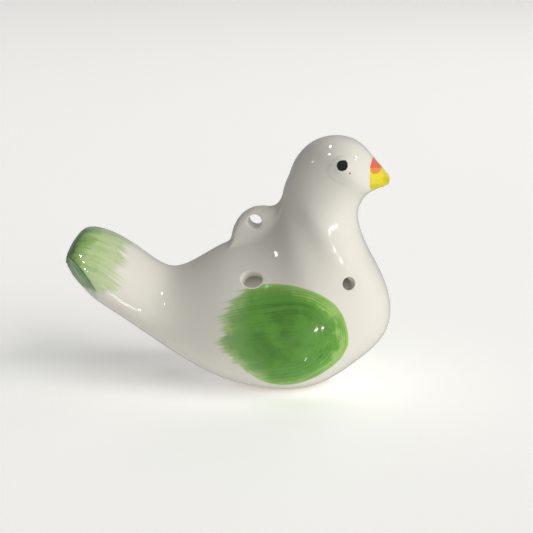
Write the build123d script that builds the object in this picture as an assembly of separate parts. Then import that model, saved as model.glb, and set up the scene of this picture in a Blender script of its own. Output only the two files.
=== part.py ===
from build123d import *
import os

# A dove-shaped ceramic ocarina that stands on a flat foot. Millimetres.
# +X points to the beak, +Y to the dove's left side and +Z up. The origin is under the middle of
# the object, on the surface that it stands on.

# Driving dimensions
wall = 3.4            # clay thickness, measured along a rib
body_rib = 5          # the rib where the solid tail ends and the hollow body starts
head_rib = 17         # the last rib of the hollow
beak_x = 43.4         # where the beak is set on the face
beak_low = 58.0       # a height between the breast and the beak

windway_width = 11.0
windway_height = 2.0
mouth = (-50.5, 39.5)     # centre line of the windway at the tail's end (x, z)
throat = (-20.2, 15.7)    # centre line of the windway where it meets the window (x, z)
shoulder = 2.0            # how far the windway floor passes under the tail on each side
window_length = 6.5
labium_length = 9.0
labium_lip_height = 2.5   # how far inside the belly the labium's edge lies
labium_heel = 1.0         # where the ramp ends, before the labium's far end
slot_low, slot_high = -4.0, 8.0   # the slot's reach, out of and into the wall

lug_hole_x, lug_hole_z = 8.5, 51.4
lug_hole_radius = 2.1
lug_thickness = 6.6
lug_round = 2.2

# Finger holes: centre on the right side, outward direction, radius on the right and on the left
finger_holes = {
    "rear": ((8.8, -14.9, 36.9), (-0.20, -0.70, 0.68), 3.2, 2.7),
    "breast": ((38.2, -16.3, 36.8), (0.48, -0.80, 0.36), 2.1, 1.7),
}

eye_centre = (36.2, -12.7, 70.6)
eye_out = (0.06, -0.975, 0.21)
eye_ball = (5.6, 3.7, 3.2)    # half sizes of the rounded pad that shows as an eye
eye_stand = 0.9               # how far an eye stands out of the head
pupil_radius = 1.75
pupil_stand = 0.2

# Each rib is a cross-section between a point on the back and a point on the belly, both (x, z).
# Then: half width, share of the rib that lies below its widest point, and how full its upper
# and lower quarters are (0.55 is an ellipse, less is more like a roof).
ribs = [
    ((-48.4, 43.0), (-50.0, 36.4), 9.0, 0.50, 0.55, 0.55),     # blunt end of the tail
    ((-46.2, 46.0), (-48.4, 32.8), 13.5, 0.45, 0.55, 0.55),
    ((-42.0, 46.6), (-45.6, 30.0), 16.0, 0.40, 0.52, 0.55),
    ((-34.6, 44.2), (-40.8, 26.0), 17.0, 0.36, 0.50, 0.55),
    ((-26.0, 38.8), (-32.4, 20.2), 16.5, 0.36, 0.48, 0.55),
    ((-18.0, 35.2), (-22.0, 12.8), 16.5, 0.38, 0.45, 0.55),    # root of the tail
    ((-9.0, 38.8), (-10.8, 5.6), 18.8, 0.40, 0.42, 0.57),
    ((0.0, 44.0), (0.6, 0.8), 21.8, 0.42, 0.38, 0.62),
    ((8.6, 46.8), (14.0, -1.2), 23.2, 0.44, 0.36, 0.66),       # over the foot
    ((14.2, 51.0), (28.2, -0.6), 23.0, 0.45, 0.36, 0.62),
    ((16.2, 56.2), (40.6, 6.8), 21.5, 0.46, 0.38, 0.55),
    ((16.9, 60.4), (49.4, 17.2), 18.0, 0.48, 0.42, 0.55),
    ((17.6, 63.4), (49.4, 29.5), 15.5, 0.50, 0.48, 0.55),      # breast
    ((18.8, 66.4), (43.6, 41.6), 13.5, 0.50, 0.55, 0.55),
    ((20.1, 69.6), (40.0, 51.4), 12.6, 0.50, 0.55, 0.55),      # neck
    ((22.1, 72.6), (40.2, 56.4), 12.6, 0.50, 0.55, 0.55),
    ((25.6, 75.8), (41.8, 59.6), 12.8, 0.50, 0.55, 0.55),
    ((31.0, 77.7), (43.2, 61.0), 12.8, 0.52, 0.55, 0.55),      # crown
    ((36.8, 77.3), (44.2, 61.6), 10.8, 0.55, 0.55, 0.55),
    ((41.0, 75.0), (45.2, 62.0), 7.6, 0.55, 0.55, 0.55),
    ((44.3, 71.4), (46.4, 62.5), 4.9, 0.50, 0.55, 0.55),       # beak
    ((47.0, 68.2), (48.0, 63.2), 3.2, 0.50, 0.55, 0.55),
    ((49.2, 65.8), (49.2, 64.2), 1.2, 0.50, 0.55, 0.55),
]

# The lug's side outline (x, z), from inside the back round to inside the nape, and its root
lug_outline = [
    (0.0, 41.0), (0.4, 45.0), (1.4, 49.4), (3.6, 53.2), (7.0, 55.6), (10.6, 56.2), (14.0, 56.4),
    (17.4, 57.8), (20.0, 59.5),
]
lug_root = [(20.0, 48.0), (12.0, 41.0)]

reach = 200.0             # side of the boxes that stand for half spaces


def quarter(centre, along, side, height, width, fullness):
    """A quarter of a rib, from the end of its height to the end of its width."""
    top = centre + along * height
    edge = centre + side * width
    return Bezier(top, top + side * width * fullness, edge + along * height * fullness, edge)


def section(rib, inset=0.0):
    """The closed outline of a rib, drawn in by inset."""
    (bx, bz), (tx, tz) = rib[1], rib[0]
    half_width, share, upper, lower = rib[2:]
    belly, back = Vector(bx, 0, bz), Vector(tx, 0, tz)
    up = (back - belly).normalized()
    length = (back - belly).length
    centre = belly + up * length * share
    rise, drop = length * (1 - share) - inset, length * share - inset
    width = half_width - inset
    right, left = Vector(0, -1, 0), Vector(0, 1, 0)
    return Wire([
        quarter(centre, up, right, rise, width, upper),
        quarter(centre, up * -1, right, drop, width, lower),
        quarter(centre, up * -1, left, drop, width, lower),
        quarter(centre, up, left, rise, width, upper),
    ])


def half_space(origin, normal):
    """A large box whose near face passes through origin and which lies along normal."""
    return Plane(origin=origin, z_dir=normal) * Box(
        reach, reach, reach, align=(Align.CENTER, Align.CENTER, Align.MIN)
    )


def slab(plane, length, width, low, high, start=0.0):
    """A box on plane, from start for length along x, centred in y, from low to high along z."""
    return plane * Pos(start, 0, low) * Box(
        length, width, high - low, align=(Align.MIN, Align.CENTER, Align.MIN)
    )


def middle(point):
    """An (x, z) pair as a point of the middle plane."""
    return Vector(point[0], 0, point[1])


# Root plane, where the tail is luted to the body
root_belly = middle(ribs[body_rib][1])
root_up = (middle(ribs[body_rib][0]) - root_belly).normalized()
forward = Vector(root_up.Z, 0, -root_up.X)

# Window plane: x runs forward along the belly from the root, z points into the wall
belly_way = (middle(ribs[body_rib + 1][1]) - root_belly).normalized()
window_plane = Plane(origin=root_belly, x_dir=belly_way, z_dir=(-belly_way.Z, 0, belly_way.X))

# Windway plane: x runs along the air stream from the mouth to the throat
flow = (middle(throat) - middle(mouth)).normalized()
windway_plane = Plane(origin=middle(mouth), x_dir=flow, z_dir=(-flow.Z, 0, flow.X))


def make_outside():
    """The whole outside as one smooth loft over the ribs, cut flat at the foot."""
    return Solid.make_loft([section(r) for r in ribs]) - half_space((0, 0, 0), (0, 0, -1))


def make_hollow():
    """The air chamber: the ribs of the hollow body drawn in by the wall."""
    return Solid.make_loft([section(r, wall) for r in ribs[body_rib:head_rib + 1]])


def make_tail(tail):
    """The solid tail with its windway, and the strip that closes the windway from below."""
    length = (middle(throat) - middle(mouth)).length
    floor_zone = slab(
        windway_plane, 3 * length, windway_width + 2 * shoulder, -length, -windway_height / 2, -length
    )
    channel = slab(
        windway_plane, 3 * length, windway_width, -windway_height / 2, windway_height / 2, -length
    )
    return tail - floor_zone - channel, tail & floor_zone


def make_labium(shell):
    """The wedge that fills the far part of the window's slot, ramped from its lip to the belly."""
    tip, end = window_length, window_length + labium_length
    with_ramp = [(tip, labium_lip_height), (tip, slot_high), (end, slot_high), (end, slot_low),
                 (end - labium_heel, slot_low / 4)]
    face = window_plane * Plane.XZ * make_face(Polyline(*with_ramp, close=True).edges())
    return shell & extrude(face, windway_width / 2, both=True)


def make_lug(outside):
    """The pierced ring behind the neck, rounded at its rim, standing on the body."""
    rim = Spline(*[middle(p) for p in lug_outline])
    root = Polyline(*[middle(p) for p in (lug_outline[-1], *lug_root, lug_outline[0])])
    plate = extrude(make_face([*rim.edges(), *root.edges()]), lug_thickness / 2, dir=(0, 1, 0), both=True)
    side_edges = [e for e in plate.edges() if abs(e.center().Y) > lug_thickness / 2 - 0.01]
    rim_edges = [e for e in side_edges if e.geom_type != GeomType.LINE]
    plate = fillet(rim_edges, lug_round)
    hole = Pos(lug_hole_x, 0, lug_hole_z) * Rot(90, 0, 0) * Cylinder(lug_hole_radius, 3 * lug_thickness)
    return plate - hole - outside


def make_eye(side, outside):
    """An almond pad with a round pupil, standing on the head; side is -1 for the right."""
    x, y, z = eye_centre
    nx, ny, nz = eye_out
    plane = Plane(origin=(x, -side * y, z), x_dir=(1, 0, 0), z_dir=(nx, -side * ny, nz))
    pad = Pos(0, 0, eye_stand - eye_ball[2]) * scale(Sphere(1), by=eye_ball)
    pupil = Pos(0, 0, eye_stand + pupil_stand) * Cylinder(
        pupil_radius, eye_ball[2] / 2, align=(Align.CENTER, Align.CENTER, Align.MAX)
    )
    return plane * (pad + pupil) - outside


def drill(name, side):
    """The tool for a finger hole on one side."""
    (x, y, z), (nx, ny, nz), right_radius, left_radius = finger_holes[name]
    radius = right_radius if side < 0 else left_radius
    plane = Plane(origin=(x, -side * y, z), z_dir=(nx, -side * ny, nz))
    return plane * Cylinder(radius, 4 * wall)


outside = make_outside()
hollow = make_hollow()
beak_zone = Pos(beak_x, 0, beak_low) * Box(
    reach, reach, reach, align=(Align.MIN, Align.CENTER, Align.MIN)
)

tail_mouthpiece, windway_floor = make_tail(outside & half_space(root_belly, forward * -1))
shell = (outside & half_space(root_belly, forward)) - hollow
labium = make_labium(shell)
slot = slab(
    window_plane, 2 * window_length + labium_length, windway_width, slot_low, slot_high, -window_length
)
shell = shell - slot - beak_zone

parts = {
    "tail_mouthpiece": tail_mouthpiece,
    "windway_floor": windway_floor,
    "labium": labium,
    "beak": outside & beak_zone,
    "cord_lug": make_lug(outside),
}
for side, name in ((-1, "right"), (1, "left")):
    half = shell & half_space((0, 0, 0), (0, side, 0))
    for hole in finger_holes:
        half = half - drill(hole, side)
    parts[name + "_shell"] = half
    parts[name + "_eye"] = make_eye(side, outside)

os.makedirs("parts", exist_ok=True)
for name, solid in parts.items():
    export_step(solid, f"parts/{name}.step")
    print(name, round(solid.volume), "mm3,", len(solid.solids()), "solid")
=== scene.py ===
import math

import bmesh
import bpy
import numpy as np
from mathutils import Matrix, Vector


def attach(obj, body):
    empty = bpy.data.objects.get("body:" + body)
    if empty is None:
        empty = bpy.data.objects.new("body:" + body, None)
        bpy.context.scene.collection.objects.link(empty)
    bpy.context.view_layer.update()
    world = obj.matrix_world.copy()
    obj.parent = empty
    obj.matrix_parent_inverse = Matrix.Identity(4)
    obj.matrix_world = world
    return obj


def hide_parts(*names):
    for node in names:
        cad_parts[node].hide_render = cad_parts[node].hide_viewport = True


# A dove-shaped glazed ocarina. Shapes are worked out in millimetres and go into the meshes in
# metres. +X points to the beak, -Y to the dove's right side and +Z up.

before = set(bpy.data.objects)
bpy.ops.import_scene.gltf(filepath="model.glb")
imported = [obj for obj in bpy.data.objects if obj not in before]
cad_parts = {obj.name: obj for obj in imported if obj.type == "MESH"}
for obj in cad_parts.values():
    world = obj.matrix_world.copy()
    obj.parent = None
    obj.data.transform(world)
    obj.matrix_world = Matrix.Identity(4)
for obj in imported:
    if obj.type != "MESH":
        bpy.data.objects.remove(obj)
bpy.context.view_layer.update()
millimetre = 0.001
print("frame loaded")

camera = {
    "azimuth": 6.0,         # degrees from straight in front, towards the beak
    "elevation": 17.0,
    "distance": 450.0,
    "aim": (11.8, 0.0, 36.3),
    "lens": 98.05,
}


def addCamera():
    turn = math.radians(camera["azimuth"])
    lift = math.radians(camera["elevation"])
    flat = math.cos(lift)
    back = Vector((math.sin(turn) * flat, -math.cos(turn) * flat, math.sin(lift)))
    data = bpy.data.cameras.new("camera")
    data.lens = camera["lens"]
    data.sensor_width = 36.0
    data.clip_start = 0.01
    data.clip_end = 20.0
    eye = bpy.data.objects.new("camera", data)
    eye.location = (Vector(camera["aim"]) + back * camera["distance"]) * millimetre
    eye.rotation_mode = "QUATERNION"
    eye.rotation_quaternion = (-back).to_track_quat("-Z", "Y")
    bpy.context.scene.collection.objects.link(eye)
    bpy.context.scene.camera = eye


addCamera()

# Each rib runs between a point on the back and one on the belly: back x, back z, belly x,
# belly z, half width, share of the rib below its widest point, and how full its upper and lower
# quarters are.
ribs = np.array([
    (-48.4, 43.0, -50.0, 36.4, 9.0, 0.50, 0.55, 0.55),
    (-46.2, 46.0, -48.4, 32.8, 13.5, 0.45, 0.55, 0.55),
    (-42.0, 46.6, -45.6, 30.0, 16.0, 0.40, 0.52, 0.55),
    (-34.6, 44.2, -40.8, 26.0, 17.0, 0.36, 0.50, 0.55),
    (-26.0, 38.8, -32.4, 20.2, 16.5, 0.36, 0.48, 0.55),
    (-18.0, 35.2, -22.0, 12.8, 16.5, 0.38, 0.45, 0.55),
    (-9.0, 38.8, -10.8, 5.6, 18.8, 0.40, 0.42, 0.57),
    (0.0, 44.0, 0.6, 0.8, 21.8, 0.42, 0.38, 0.62),
    (8.6, 46.8, 14.0, -1.2, 23.2, 0.44, 0.36, 0.66),
    (14.2, 51.0, 28.2, -0.25, 23.0, 0.45, 0.36, 0.59),
    (16.2, 56.2, 40.5, 7.3, 21.5, 0.46, 0.38, 0.55),
    (16.9, 60.4, 49.4, 17.2, 18.0, 0.48, 0.42, 0.55),
    (17.6, 63.4, 49.4, 29.5, 15.5, 0.50, 0.48, 0.55),
    (18.8, 66.4, 43.6, 41.6, 13.5, 0.50, 0.55, 0.55),
    (20.1, 69.6, 40.0, 51.4, 12.6, 0.50, 0.55, 0.55),
    (22.1, 72.6, 40.2, 56.4, 12.6, 0.50, 0.55, 0.55),
    (25.6, 75.8, 41.8, 59.6, 12.8, 0.50, 0.55, 0.55),
    (31.0, 77.7, 43.2, 61.0, 12.8, 0.52, 0.55, 0.55),
    (36.8, 77.3, 44.2, 61.6, 10.8, 0.55, 0.55, 0.55),
    (41.0, 75.0, 45.2, 62.0, 7.6, 0.55, 0.55, 0.55),
    (44.3, 71.4, 46.4, 62.5, 4.9, 0.50, 0.55, 0.55),
    (46.8, 68.6, 47.6, 62.9, 3.3, 0.50, 0.55, 0.55),
    (48.2, 66.9, 48.4, 63.4, 2.0, 0.50, 0.55, 0.55),
])

dove = {
    "wall": 3.4,            # clay thickness
    "rootRib": 5.0,         # the solid tail ends and the hollow starts
    "crownRib": 17.0,       # the hollow ends
    "beakX": 43.4,          # where the beak is set on the face
    "footSoftness": 0.45,   # rounding where the belly meets the flat foot
    "seamRise": 0.22,       # the mould seam left standing on the lower back
    "seamWidth": 0.9,
    "seamRibs": (4.9, 7.3),
    "handWork": 0.0035,     # how far the sections stray from a perfect shape
    "facetNormal": (-0.72, -0.56, -0.41),   # pressed flat on each side of the tail's end
    "facetOffset": 24.3,
    "facetEdge": 0.16,      # softness of the facet's edge
}

# The pierced ring behind the neck rises out of the back: rib number, then the crest's (x, z)
lug = {
    "crest": [(7.02, 0.4, 44.6), (7.3, 1.7, 49.0), (7.6, 3.8, 52.6), (8.0, 7.0, 55.0),
              (8.6, 10.4, 55.7), (9.2, 12.9, 55.6), (9.75, 14.7, 56.1), (10.25, 15.9, 57.4)],
    "start": 6.8,
    "end": 10.9,
    "halfThickness": 3.3,
    "capDrop": 2.7,         # depth of its rounded rim
    "filletSize": 2.0,      # the glaze that fills the corner where it meets the back
    "zone": 6.5,            # half width of the strip of back that takes part
    "share": 0.36,          # share of an upper quarter's columns spent on that strip
    "fullHeight": 4.9,
    "hole": (8.5, 51.4),
    "holeRadius": 2.1,
    "holeLip": 0.75,
    "rimEnd": 0.34,         # shares of the strip where the rim, the wall and the fillet end
    "wallEnd": 0.64,
    "filletEnd": 0.86,
    "wallLean": 0.15,
}


def splineBends(knots, values):
    # Second derivatives of the cubic spline through the values that ends without bending
    gap = np.diff(knots)
    count = len(knots)
    matrix = np.eye(count)
    inner = np.arange(1, count - 1)
    matrix[inner, inner - 1] = gap[:-1]
    matrix[inner, inner] = 2 * (gap[:-1] + gap[1:])
    matrix[inner, inner + 1] = gap[1:]
    slope = np.diff(values, axis=0) / gap[:, None]
    right = np.zeros_like(values)
    right[1:-1] = 6 * np.diff(slope, axis=0)
    return np.linalg.solve(matrix, right)


def splineAt(knots, values, bends, place):
    # The spline's value: the chord between two knots plus the cubic term of each bend
    i = np.clip(np.searchsorted(knots, place) - 1, 0, len(knots) - 2)
    gap = (knots[i + 1] - knots[i])[..., None]
    b = (place[..., None] - knots[i][..., None]) / gap
    a = 1 - b
    straight = a * values[i] + b * values[i + 1]
    return straight + ((a ** 3 - a) * bends[i] + (b ** 3 - b) * bends[i + 1]) * gap ** 2 / 6


def ribKnots():
    # Distance along the dove, from the mean of the back's and the belly's root chord lengths
    back = np.hypot(*np.diff(ribs[:, 0:2], axis=0).T)
    belly = np.hypot(*np.diff(ribs[:, 2:4], axis=0).T)
    return np.concatenate([[0], np.cumsum(np.sqrt((back + belly) / 2))])


knots = ribKnots()
ribBends = splineBends(knots, ribs)


def ribAt(u):
    # u counts ribs, with fractions between them
    return splineAt(knots, ribs, ribBends, np.interp(u, np.arange(len(ribs)), knots))


def crestKnots():
    # The crest less the back beneath it, with no rise at either end
    table = np.array(lug["crest"])
    back = ribAt(table[:, 0])[:, 0:2]
    u = np.concatenate([[lug["start"]], table[:, 0], [lug["end"]]])
    rise = np.vstack([[0, 0], table[:, 1:] - back, [0, 0]])
    slope = np.gradient(rise, u, axis=0)
    slope[[0, -1]] = 0
    return u, rise, slope


crestU, crestRise, crestSlope = crestKnots()


def crestAt(u):
    # Hermite curve through the crest's rises, flat at both ends
    i = np.clip(np.searchsorted(crestU, u) - 1, 0, len(crestU) - 2)
    gap = (crestU[i + 1] - crestU[i])[..., None]
    t = np.clip((u - crestU[i]) / gap[..., 0], 0, 1)[..., None]
    ahead = t * t * (3 - 2 * t)
    leave = t * (1 - t) ** 2 * gap
    arrive = -t * t * (1 - t) * gap
    straight = (1 - ahead) * crestRise[i] + ahead * crestRise[i + 1]
    return straight + leave * crestSlope[i] + arrive * crestSlope[i + 1]


def lugProfile(t, rise):
    # Across the ring from the middle plane, t 0..1: a rounded rim, an upright wall and a fillet.
    # Where the ring hasn't risen yet the strip is even. Gives (distance from the plane, lift).
    half, zone, lean = lug["halfThickness"], lug["zone"], lug["wallLean"]
    rimEnd, wallEnd, filletEnd = lug["rimEnd"], lug["wallEnd"], lug["filletEnd"]
    grown = 1 - np.exp(-rise / lug["fullHeight"])
    rim, fillet = lug["capDrop"] * grown, lug["filletSize"] * grown
    capTurn = np.clip(t / rimEnd, 0, 1) * np.pi / 2
    wall = np.clip((t - rimEnd) / (wallEnd - rimEnd), 0, 1)
    footTurn = np.clip((t - wallEnd) / (filletEnd - wallEnd), 0, 1) * np.pi / 2
    out = np.clip((t - filletEnd) / (1 - filletEnd), 0, 1)
    lift = rise - rim * (1 - np.cos(capTurn)) - (rise - rim - fillet) * wall
    lift = lift - fillet * np.sin(footTurn)
    y = half * np.sin(capTurn) + lean * wall + fillet * (1 - np.cos(footTurn))
    y = y + (zone - half - lean - fillet) * out
    return zone * t + (y - zone * t) * grown, lift


def widthShare(f, full):
    return 3 * full * f * (1 - f) ** 2 + 3 * f * f * (1 - f) + f ** 3


def heightShare(f, full):
    return (1 - f) ** 3 + 3 * f * (1 - f) ** 2 + 3 * full * f * f * (1 - f)


def fractionFor(share, full):
    # The place on a quarter whose width share is given, by Newton steps
    f = share / (3 * full)
    for _ in range(7):
        slope = 3 * full * (1 - f) * (1 - 3 * f) + 3 * f * (2 - 3 * f) + 3 * f * f
        f = np.clip(f - (widthShare(f, full) - share) / slope, 0, 1)
    return f


def skin(u, s, inset=0.0):
    # A point of the outside. u counts ribs from the tail, and s goes round a rib: 0 back,
    # 1 right side, 2 belly, 3 left side. Each quarter is a cubic Bezier curve between the end
    # of the rib's height and the end of its width. With an inset it is the hollow's wall.
    u, s = np.broadcast_arrays(np.asarray(u, float), np.asarray(s, float))
    s = s % 4
    rib = ribAt(u)
    backX, backZ, bellyX, bellyZ, halfWidth, share, upper, lower = np.moveaxis(rib, -1, 0)
    top = (s < 1) | (s > 3)
    side = np.where(s < 2, -1.0, 1.0)
    a = np.where(s < 1, s, np.where(s < 2, 2 - s, np.where(s < 3, s - 2, 4 - s)))
    wide = halfWidth - inset
    full = np.where(top, upper, lower)
    strip = np.minimum(lug["zone"], 0.42 * wide)
    rise = crestAt(u) * float(inset == 0)
    height = np.hypot(rise[..., 0], rise[..., 1])
    t = np.clip(a / lug["share"], 0, 1)
    y, lift = lugProfile(t, height)
    inStrip = fractionFor(y * strip / lug["zone"] / wide, full)
    edge = fractionFor(strip / wide, full)
    beyond = edge + (1 - edge) * np.clip((a - lug["share"]) / (1 - lug["share"]), 0, 1)
    f = np.where(top, np.where(t < 1, inStrip, beyond), a)
    length = np.hypot(backX - bellyX, backZ - bellyZ)
    upX, upZ = (backX - bellyX) / length, (backZ - bellyZ) / length
    reach = np.where(top, length * (1 - share) - inset, inset - length * share)
    waves = np.sin(1.3 * u + 1.5 * np.pi * s + 0.7) + np.sin(0.9 * u - np.pi * s)
    swell = 1 + dove["handWork"] * waves
    up = reach * heightShare(f, full) * swell
    across = wide * widthShare(f, full) * swell
    raised = np.where(top & (height > 1e-6), lift / np.maximum(height, 1e-6), 0)
    x = bellyX + upX * (length * share + up) + rise[..., 0] * raised
    z = bellyZ + upZ * (length * share + up) + rise[..., 1] * raised
    if inset > 0:
        return np.stack([x, side * across, z], -1)
    seamStart, seamEnd = dove["seamRibs"]
    seamHere = top * np.clip(np.minimum(u - seamStart, seamEnd - u) * 2, 0, 1)
    z = z + dove["seamRise"] * np.exp(-(across / dove["seamWidth"]) ** 2) * seamHere
    z = (z + np.sqrt(z * z + dove["footSoftness"] ** 2)) / 2
    nx, ny, nz = facetNormal
    past = x * nx + across * abs(ny) + z * nz - dove["facetOffset"]
    cut = np.where(u < 4, np.logaddexp(0, past / dove["facetEdge"]) * dove["facetEdge"], 0)
    push = np.stack([cut * nx, side * cut * abs(ny), cut * nz], -1)
    return np.stack([x, side * across, z], -1) - push


def unit(vectors):
    return vectors / np.maximum(np.linalg.norm(vectors, axis=-1, keepdims=True), 1e-12)


facetNormal = unit(np.array(dove["facetNormal"]))


def skinNormal(u, s, inset=0.0):
    # Outward, from the slopes along and round the ribs
    step = 2e-4
    along = skin(u + step, s, inset) - skin(u - step, s, inset)
    around = skin(u, s + step, inset) - skin(u, s - step, inset)
    return unit(np.cross(around, along))


def landOn(targets, axes, u, s, inset=0.0):
    # Moves (u, s) by Newton steps until the skin's coordinates along the two axes are the targets
    u, s, step = np.array(u, float), np.array(s, float), 1e-4
    for _ in range(16):
        point = skin(u, s, inset)
        miss = targets - point @ axes.T
        du = (skin(u + step, s, inset) - point) @ axes.T / step
        ds = (skin(u, s + step, inset) - point) @ axes.T / step
        det = du[..., 0] * ds[..., 1] - du[..., 1] * ds[..., 0]
        det = np.where(np.abs(det) < 1e-9, 1e-9, det)
        u += np.clip((miss[..., 0] * ds[..., 1] - miss[..., 1] * ds[..., 0]) / det, -0.25, 0.25)
        s += np.clip((du[..., 0] * miss[..., 1] - du[..., 1] * miss[..., 0]) / det, -0.1, 0.1)
    return u, s


def newPiece():
    return {"points": [], "normals": [], "quads": [], "outer": [], "material": [], "count": 0}


def gridNormals(points, wrap):
    # Cross product of the step along a row and the step to the next row
    if wrap:
        around = np.roll(points, -1, 1) - np.roll(points, 1, 1)
    else:
        around = np.gradient(points, axis=1)
    return unit(np.cross(around, np.gradient(points, axis=0)))


def addGrid(piece, points, normals=None, wrap=False, flip=False, leaveOut=None, layer="skin"):
    # Rows and columns of points become quads. layer is skin where it may be painted, bare on
    # glazed edges and bores, and hollow inside the air chamber.
    if normals is None:
        normals = gridNormals(points, wrap) * (-1 if flip else 1)
    total = points.shape[0] * points.shape[1]
    index = piece["count"] + np.arange(total).reshape(points.shape[:2])
    if wrap:
        index = np.hstack([index, index[:, :1]])
    quads = np.stack([index[:-1, :-1], index[:-1, 1:], index[1:, 1:], index[1:, :-1]], -1)
    quads = quads[~leaveOut] if leaveOut is not None else quads.reshape(-1, 4)
    piece["points"].append(points.reshape(-1, 3))
    piece["normals"].append(normals.reshape(-1, 3))
    piece["quads"].append(quads[:, ::-1] if flip else quads)
    piece["outer"].append(np.full(total, layer == "skin"))
    piece["material"].append(np.full(len(quads), int(layer == "hollow"), np.int32))
    piece["count"] += total


def buildPiece(name, piece, maps=None):
    # One closed mesh: the grids are welded where they touch, and keep the normals worked out
    # for them, so that only real edges are sharp. maps gives named values for each point.
    points = np.concatenate(piece["points"])
    normals = np.concatenate(piece["normals"])
    quads = np.concatenate(piece["quads"])
    mesh = bpy.data.meshes.new(name)
    mesh.vertices.add(len(points))
    mesh.vertices.foreach_set("co", (points * millimetre).ravel())
    mesh.loops.add(quads.size)
    mesh.loops.foreach_set("vertex_index", quads.ravel().astype(np.int32))
    mesh.polygons.add(len(quads))
    mesh.polygons.foreach_set("loop_start", np.arange(0, quads.size, 4, dtype=np.int32))
    mesh.polygons.foreach_set("material_index", np.concatenate(piece["material"]))
    outer = np.concatenate(piece["outer"])
    for label, values in (maps(points, outer) if maps else {}).items():
        attribute = mesh.attributes.new(label, "FLOAT_VECTOR", "POINT")
        attribute.data.foreach_set("vector", values.astype(np.float32).ravel())
    corner = mesh.attributes.new("cornerNormal", "FLOAT_VECTOR", "CORNER")
    corner.data.foreach_set("vector", normals[quads.ravel()].astype(np.float32).ravel())
    mesh.update(calc_edges=True)
    work = bmesh.new()
    work.from_mesh(mesh)
    bmesh.ops.remove_doubles(work, verts=work.verts, dist=2e-6)
    work.to_mesh(mesh)
    work.free()
    corners = np.zeros(len(mesh.loops) * 3, np.float32)
    mesh.attributes["cornerNormal"].data.foreach_get("vector", corners)
    mesh.attributes.remove(mesh.attributes["cornerNormal"])
    mesh.normals_split_custom_set(corners.reshape(-1, 3))
    shape = bpy.data.objects.new(name, mesh)
    bpy.context.scene.collection.objects.link(shape)
    print(name, len(mesh.polygons), "faces,", openEdges(mesh), "edges not shared by two faces")
    return shape


def openEdges(mesh):
    edges = np.zeros(len(mesh.loops), np.int32)
    mesh.loops.foreach_get("edge_index", edges)
    return int((np.bincount(edges, minlength=len(mesh.edges)) != 2).sum())


def columnPlaces():
    # Places round a rib, the same on both sides: the ring's strip, the rest of the upper
    # quarter, and the lower quarter
    strip = np.linspace(0, lug["share"], 29)[:-1]
    flank = np.linspace(lug["share"], 1, 35)[:-1]
    belly = np.linspace(1, 2, 47)
    half = np.concatenate([strip, flank, belly])
    return np.concatenate([half, 4 - half[-2:0:-1]])


columns = columnPlaces()
rootRib, crownRib = dove["rootRib"], dove["crownRib"]
rows = np.concatenate([     # closer together where the ring behind the neck rises
    np.linspace(rootRib, 6.85, 27)[:-1],
    np.linspace(6.85, 7.75, 46)[:-1],
    np.linspace(7.75, 9.0, 30)[:-1],
    np.linspace(9.0, 11.0, 26)[:-1],
    np.linspace(11.0, crownRib, 58),
])


def ribPlaceAtX(x, low, high):
    # For every column, the u at which the skin reaches x, by halving
    low, high = np.full(len(columns), float(low)), np.full(len(columns), float(high))
    for _ in range(40):
        middle = (low + high) / 2
        short = skin(middle, columns)[:, 0] < x
        low, high = np.where(short, middle, low), np.where(short, high, middle)
    return (low + high) / 2


beakEdge = ribPlaceAtX(dove["beakX"], crownRib - 0.8, 21.5)

fingerHoles = [
    # near is the place to look (u, s), out the way it faces, lip the rounding of the glaze at its
    # rim, and oval its height for a width of 1
    {"near": (7.6, 0.62), "centre": (8.8, -14.9, 36.9), "out": (-0.20, -0.70, 0.68),
     "radius": 3.2, "lip": 0.8, "oval": 0.77},
    {"near": (7.6, 3.38), "centre": (8.8, 14.9, 36.9), "out": (-0.20, 0.70, 0.68),
     "radius": 2.7, "lip": 0.9, "oval": 0.88},
    {"near": (11.0, 0.8), "centre": (38.2, -16.3, 36.8), "out": (0.48, -0.80, 0.36),
     "radius": 2.0, "lip": 0.5, "oval": 0.96},
    {"near": (11.0, 3.2), "centre": (38.2, 16.3, 36.8), "out": (0.48, 0.80, 0.36),
     "radius": 1.7, "lip": 0.7, "oval": 1.0},
]
rings = 9        # rings of quads between a hole's rim and the grid it is cut from
lipSteps = 7
boreSteps = 9


def steps(count):
    # 0 to 1 in count steps, shaped to multiply points row by row
    return np.linspace(0, 1, count + 1)[:, None, None]


def acrossAxes(out):
    # Two unit vectors square to out and to each other, as rows
    out = unit(np.array(out, float))
    first = unit(np.cross((0, 0, 1), out))
    return np.array([first, np.cross(out, first)])


def perimeter(i0, i1, j0, j1):
    # Row and column numbers once round a rectangle of the grid
    tall, wide = i1 - i0, j1 - j0
    rise, run = np.arange(tall), np.arange(wide)
    i = np.concatenate([np.full(wide, i0), i0 + rise, np.full(wide, i1), i1 - rise])
    j = np.concatenate([j0 + run, np.full(tall, j1), j1 - run, np.full(tall, j0)])
    return i, j


def rectangleRound(places):
    # The grid rectangle that clears all of the given (u, s) places by two cells
    u = np.concatenate([p[0] for p in places])
    s = np.concatenate([p[1] for p in places])
    i0, i1 = np.searchsorted(rows, u.min()) - 3, np.searchsorted(rows, u.max()) + 2
    j0, j1 = np.searchsorted(columns, s.min()) - 3, np.searchsorted(columns, s.max()) + 2
    return max(i0, 0), i1, j0, j1


def skinRings(edge, rim, inset=0.0):
    # From the grid's edge to a hole's rim, both (u, s), closing up towards the rim
    share = 1 - (1 - np.linspace(0, 1, rings + 1)) ** 1.5
    u = edge[0] + (rim[0] - edge[0]) * share[:, None]
    s = edge[1] + (rim[1] - edge[1]) * share[:, None]
    return skin(u, s, inset), skinNormal(u, s, inset)


def lipCurve(start, corner, end):
    # A rounded lip: the quadratic Bezier curve with its corner at the sharp rim
    t = steps(lipSteps)
    return (1 - t) ** 2 * start + 2 * t * (1 - t) * corner + t * t * end


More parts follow.
